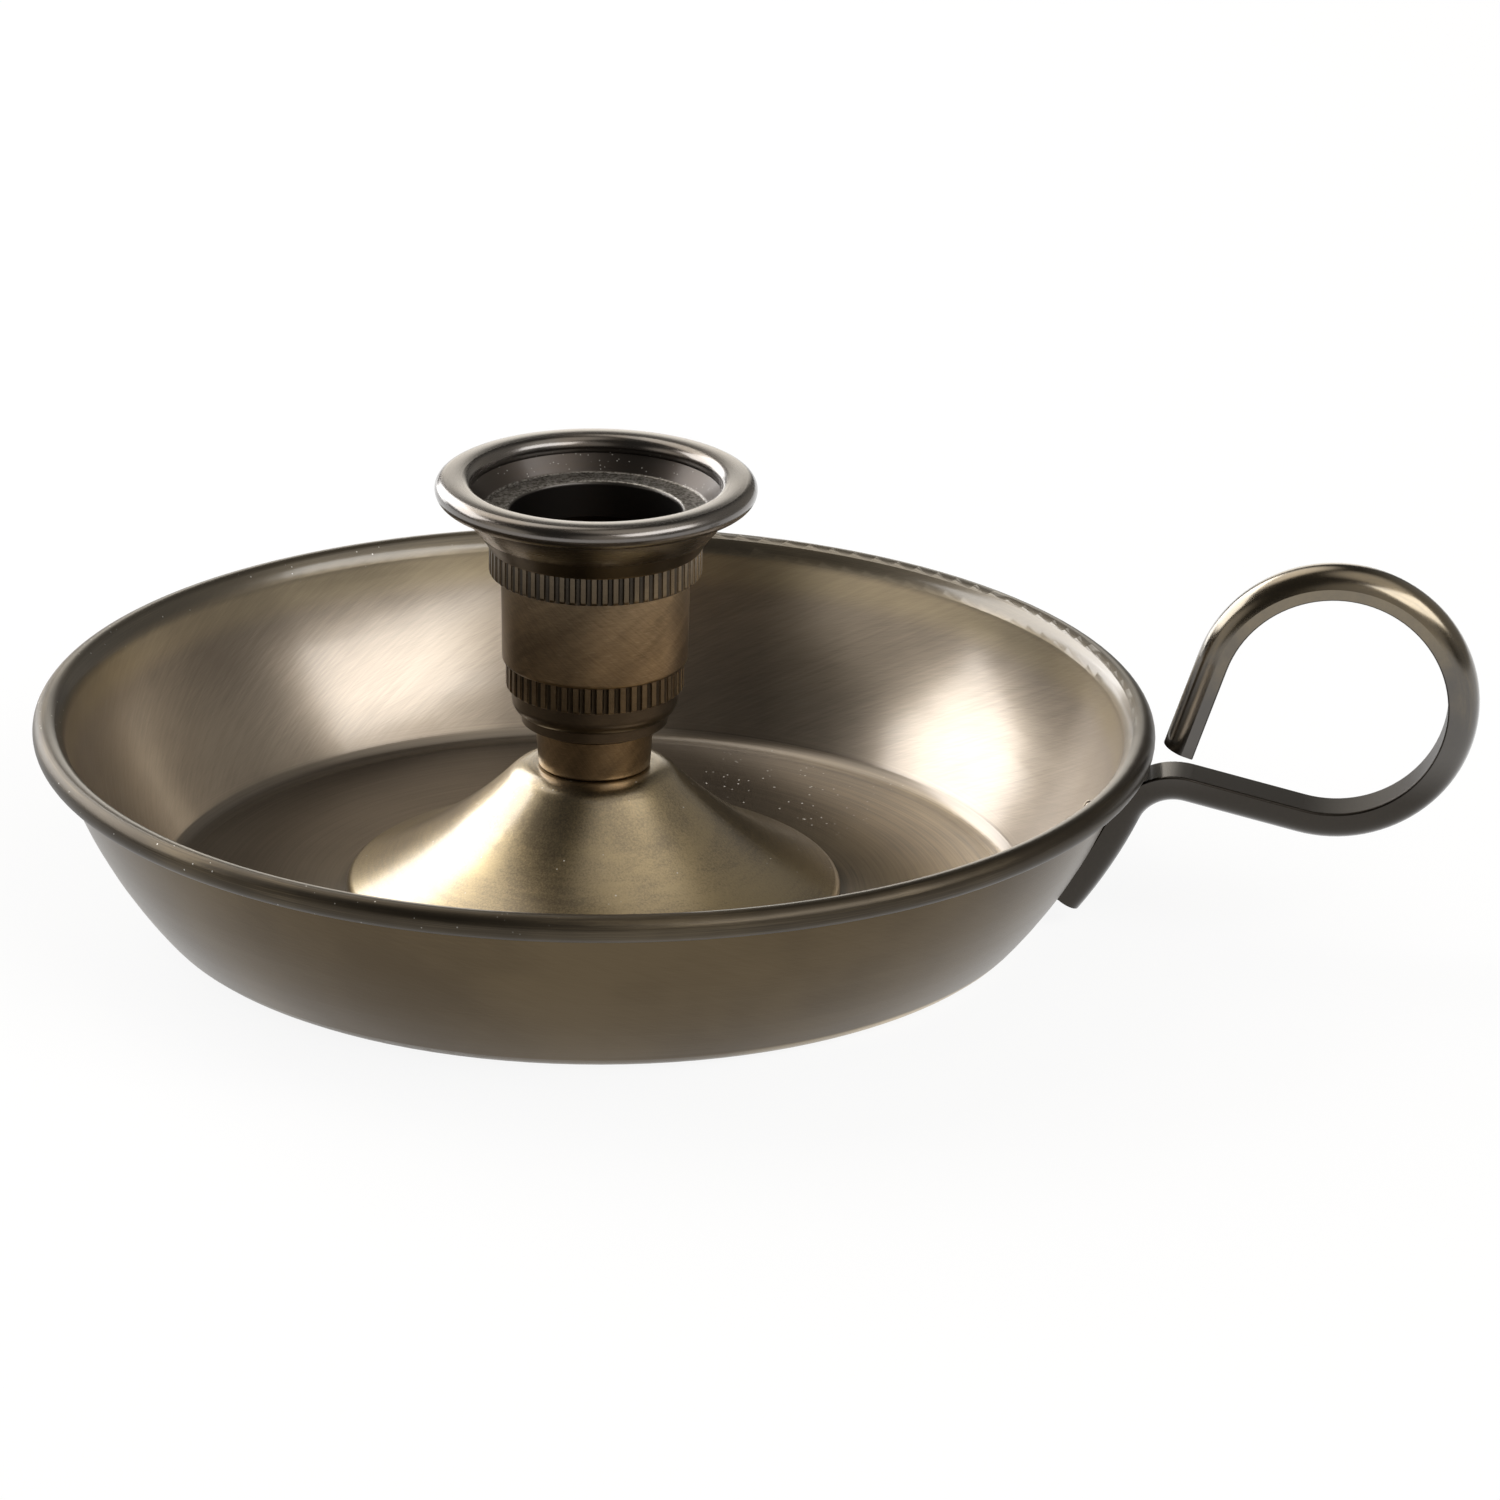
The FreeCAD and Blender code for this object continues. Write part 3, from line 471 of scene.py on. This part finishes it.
def handle_finish():
    """Dark bronze, worn to brass over the top of the loop, its flat side left dull; painted
    shade darkens the flat side and the lower run.
    """
    metal = Metal("handle_worn_bronze")
    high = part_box("handle")[1]
    loop_reach = LOOP_RADIUS + BAR_DEPTH
    out_x = metal.x - (high.x / MILLIMETRE - loop_reach)
    out_z = metal.z - (high.z / MILLIMETRE - loop_reach)
    from_loop = (out_x * out_x + out_z * out_z) ** 0.5
    inward = -1 * (metal.facing_x * out_x + metal.facing_z * out_z) / from_loop
    flat = metal.fade(inward, *FACING_LOOP)
    lengthways = metal.join(metal.x * 0.22, metal.y * 3.0, metal.z * 0.22)
    grain = metal.noise(metal.spot, scale=2.4, detail=3.0, roughness=0.7)
    strokes = metal.noise(lengthways, scale=1.0, detail=3.0, roughness=0.6)
    clouds = metal.noise(metal.spot, scale=0.09, detail=3.0)
    top = metal.fade(metal.z, *[high.z / MILLIMETRE - down for down in WORN_BELOW_TOP])
    wear = metal.fade(strokes * 0.35 + clouds * 0.35 + top * 0.35, 0.42, 0.80)
    colour = metal.mix(wear, *HANDLE_METAL)
    # Painted shade: the flat side facing into the loop is darkened.
    colour = metal.mix(flat * 0.85, colour, HANDLE_FLAT)
    # Painted shade: the handle darkens towards its lower run and tab, and its coat thins
    # there.
    low_shade = metal.fade(metal.z, *LOW_SHADE_HEIGHT)
    colour = metal.shade(colour, (0.8 + grain * 0.4) * (1 - low_shade * 0.3))
    roughness = 0.18 + grain * 0.06 + flat * 0.24
    normal = metal.bump(grain * 0.5 + strokes * 0.5, depth=0.010)
    coat = (1.0 - flat * 0.9) * (1 - low_shade * 0.75)
    return metal.finish(colour, roughness, normal, coat)


def screw_finish():
    """Plain brass with a fine grain."""
    metal = Metal("screws_plain_brass")
    grain = metal.noise(metal.spot, scale=2.0, detail=3.0, roughness=0.6)
    clouds = metal.noise(metal.spot, scale=0.3)
    colour = metal.mix(metal.fade(clouds, 0.35, 0.65), *SCREW_METAL)
    colour = metal.shade(colour, 0.8 + grain * 0.4)
    normal = metal.bump(grain, depth=0.008)
    return metal.finish(colour, 0.28 + grain * 0.12, normal)


def give(node, material):
    """Put a finish in every material slot of a CAD node."""
    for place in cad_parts[node].material_slots:
        place.link = "OBJECT"
        place.material = material


def dress():
    give("pan", pan_finish())
    give("pedestal_cone", cone_finish())
    give("neck_collar", socket_finish("collar_brown_brass"))
    give("socket_base", socket_finish(
        "base_brown_brass", LOWER_MILLED_BAND, LOWER_RIDGE_REACH, BASE_SHADE_BAND))
    give("socket_barrel", socket_finish(
        "barrel_brown_brass", UPPER_MILLED_BAND, UPPER_RIDGE_REACH, CROWN_SHADE_BAND))
    give("drip_lip", lip_finish())
    give("handle", handle_finish())
    screws = screw_finish()
    for node in ("centre_screw", "screw_washer", "handle_screw_lower", "handle_screw_upper"):
        give(node, screws)


# Studio: bearings are azimuth and elevation in degrees, and a level of 1 is white

LAMP_DISTANCE = 1.2
SOFTBOXES = [
    # name, bearing, half spread in degrees across and up, level
    ("softbox_left", (-120, 28), (30, 14), 5.3),
    ("softbox_low", (-135, 7), (12, 8), 4.0),
    ("softbox_right", (57, 38), (24, 12), 4.7),
]
ROOM_TINT = (1, 0.94, 0.84)
ROOM_LEVEL = 0.05
ROOM_PATCHES = [
    # bearing, degrees from its middle where it is whole and where it ends, level
    ((-173, 9), 6, 18, 1.6),
    ((115, 14), 26, 60, 0.28),
    ((72, 70), 10, 32, 1.0),
    ((-62, 8), 8, 27, 0.8),
    ((-138, 50), 9, 28, 2.2),
    ((22, 16), 10, 36, 0.5),
]
FLOOR_REACH = 6.0
FLOOR_GREY = (0.9, 0.9, 0.9, 1)
FLOOR_WHITE = (1, 1, 1, 1)
FLOOR_GLOW = 0.9


def direction(azimuth, elevation):
    """The direction of a bearing, anticlockwise from the front seen from above."""
    a, e = math.radians(azimuth), math.radians(elevation)
    return Vector((math.sin(a) * math.cos(e), -math.cos(a) * math.cos(e), math.sin(e)))


def softbox(name, bearing, spread, level):
    """A soft lamp aimed at the object."""
    away = direction(*bearing)
    width, height = [2 * LAMP_DISTANCE * math.tan(math.radians(angle)) for angle in spread]
    lamp = bpy.data.lights.new(name, "AREA")
    lamp.shape = "RECTANGLE"
    lamp.size = width
    lamp.size_y = height
    lamp.energy = level * math.pi * width * height
    box = bpy.data.objects.new(name, lamp)
    bpy.context.scene.collection.objects.link(box)
    box.location = away * LAMP_DISTANCE
    box.rotation_mode = "QUATERNION"
    box.rotation_quaternion = away.to_track_quat("Z", "Y")
    box.visible_camera = False


def make_room():
    """A dim room with soft pale patches on its walls and ceiling."""
    world = bpy.data.worlds.new("studio")
    bpy.context.scene.world = world
    world.use_nodes = True
    room = Finish(world.node_tree)
    heading = room.node("TexCoord", output="Generated")
    level = ROOM_LEVEL
    for bearing, whole, end, strength in ROOM_PATCHES:
        facing = room.vector_maths("DOT_PRODUCT", heading, direction(*bearing),
                                   output="Value")
        edges = [math.cos(math.radians(angle)) for angle in (end, whole)]
        level = room.fade(facing, *edges) * strength + level
    colour = room.join(*[level * share for share in ROOM_TINT])
    shine = room.node("Background", sockets={"Color": colour, "Strength": 1.0})
    room.node("OutputWorld", sockets={"Surface": shine})


def make_studio():
    for lamp in SOFTBOXES:
        softbox(*lamp)
    make_room()


def make_floor():
    """A pale table that shows white, with a light shadow under the object."""
    mesh = bpy.data.meshes.new("floor")
    corners = [(x * FLOOR_REACH, y * FLOOR_REACH, 0)
               for x, y in ((-1, -1), (1, -1), (1, 1), (-1, 1))]
    mesh.from_pydata(corners, [], [(0, 1, 2, 3)])
    floor = bpy.data.objects.new("floor", mesh)
    bpy.context.scene.collection.objects.link(floor)
    paint = bpy.data.materials.new("floor_white")
    paint.use_nodes = True
    tree = Finish(paint.node_tree)
    seen = tree.node("LightPath", output="Is Camera Ray")
    for ray in ("Is Glossy Ray", "Is Transmission Ray"):
        seen = seen.most(tree.node("LightPath", output=ray))
    matt = tree.node("BsdfDiffuse", sockets={"Color": FLOOR_GREY})
    glow = tree.node("Emission", sockets={"Color": FLOOR_WHITE, "Strength": 1.0})
    mixed = tree.node("MixShader", sockets={0: seen * FLOOR_GLOW, 1: matt, 2: glow})
    tree.node("OutputMaterial", sockets={"Surface": mixed})
    mesh.materials.append(paint)


make_camera()
dress()
make_studio()
make_floor()
bpy.context.scene.view_settings.view_transform = "Standard"
